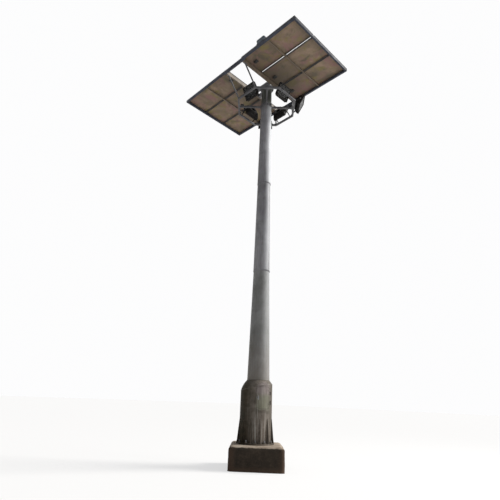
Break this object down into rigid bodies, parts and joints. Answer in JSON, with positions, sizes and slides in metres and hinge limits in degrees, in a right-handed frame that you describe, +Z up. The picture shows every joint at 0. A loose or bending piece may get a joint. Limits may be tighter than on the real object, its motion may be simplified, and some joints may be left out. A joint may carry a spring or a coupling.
{
  "type": "high mast floodlight tower",
  "caption": "Tapered slip-jointed mast on a concrete plinth, with a ring of tilting floodlights under a two-wing solar module canopy and a hinged access door in the base.",
  "frame": {"origin": "centre of the flat underside of the concrete plinth, on the ground", "axes": "+Z up along the mast, X along the long side of the canopy, Y across it; the plinth is turned 45 degrees to both"},
  "size_m": [5.62, 2.97, 13.25],
  "materials": {
    "concrete": "cast concrete, dusty brown on top and dark with mud on the sides",
    "dusty_steel": "galvanised steel under brown dust, greener and cleaner by the door",
    "galvanised_steel": "weathered hot-dip galvanising, mottled grey",
    "dark_beam_steel": "dark blue-grey painted steel",
    "module_aluminium": "anodised aluminium, slightly dusty",
    "cell_laminate": "dark blue cells under glass, pale tan back sheet",
    "black_plastic": "black moulded plastic",
    "lamp_black": "black powder-coated aluminium",
    "lamp_glass": "clear tempered glass",
    "unit_paint": "dark blue-grey painted steel"
  },
  "bodies": {
    "tower": {"plinth": "concrete", "base_flange": "dusty_steel", "base_ribs": "dusty_steel", "anchor_bolts": "galvanised_steel", "anchor_nuts": "galvanised_steel", "base_compartment": "dusty_steel", "hinge_posts": "dusty_steel", "compartment_hood": "dusty_steel", "shaft_lower": "galvanised_steel", "shaft_middle": "galvanised_steel", "shaft_upper": "galvanised_steel", "head_plate": "galvanised_steel", "head_beams": "galvanised_steel", "edge_beams": "dark_beam_steel", "link_beams": "dark_beam_steel", "inner_cross_beams": "dark_beam_steel", "outer_cross_beams": "dark_beam_steel", "middle_rails": "galvanised_steel", "module_frames_east": "module_aluminium", "module_frames_west": "module_aluminium", "module_laminates": "cell_laminate", "junction_boxes": "black_plastic", "lamp_ring": "galvanised_steel", "ring_spider": "galvanised_steel", "ring_hangers": "galvanised_steel", "lamp_cheeks": "galvanised_steel", "unit_bracket": "galvanised_steel", "edge_unit": "unit_paint"},
    "door": {"compartment_door": "dusty_steel", "door_leaves": "dusty_steel", "door_handle": "dusty_steel"},
    "lamp_1": {"lamp_housing_1": "lamp_black", "lamp_glass_1": "lamp_glass"},
    "lamp_2": {"lamp_housing_2": "lamp_black", "lamp_glass_2": "lamp_glass"},
    "lamp_3": {"lamp_housing_3": "lamp_black", "lamp_glass_3": "lamp_glass"},
    "lamp_4": {"lamp_housing_4": "lamp_black", "lamp_glass_4": "lamp_glass"},
    "lamp_5": {"lamp_housing_5": "lamp_black", "lamp_glass_5": "lamp_glass"},
    "lamp_6": {"lamp_housing_6": "lamp_black", "lamp_glass_6": "lamp_glass"}
  },
  "joints": [
    {"name": "door_hinge", "type": "hinge", "parent": "tower", "child": "door", "pos_m": [0.42212, 0.08377, 1.795], "axis": [0, 0, 1], "range_deg": [0, 110]},
    {"name": "lamp_tilt_1", "type": "hinge", "parent": "tower", "child": "lamp_1", "pos_m": [0.79438, 0, 12.22], "axis": [0, 1, 0], "range_deg": [-25, 60]},
    {"name": "lamp_tilt_2", "type": "hinge", "parent": "tower", "child": "lamp_2", "pos_m": [0.88079, 0.88079, 12.22], "axis": [-0.7071, 0.7071, 0], "range_deg": [-25, 60]},
    {"name": "lamp_tilt_3", "type": "hinge", "parent": "tower", "child": "lamp_3", "pos_m": [0, 0.79438, 12.22], "axis": [-1, 0, 0], "range_deg": [-25, 60]},
    {"name": "lamp_tilt_4", "type": "hinge", "parent": "tower", "child": "lamp_4", "pos_m": [-0.88079, 0.88079, 12.22], "axis": [-0.7071, -0.7071, 0], "range_deg": [-25, 60]},
    {"name": "lamp_tilt_5", "type": "hinge", "parent": "tower", "child": "lamp_5", "pos_m": [-0.79438, 0, 12.22], "axis": [0, -1, 0], "range_deg": [-25, 60]},
    {"name": "lamp_tilt_6", "type": "hinge", "parent": "tower", "child": "lamp_6", "pos_m": [0, -0.79438, 12.22], "axis": [1, 0, 0], "range_deg": [-25, 60]}
  ]
}
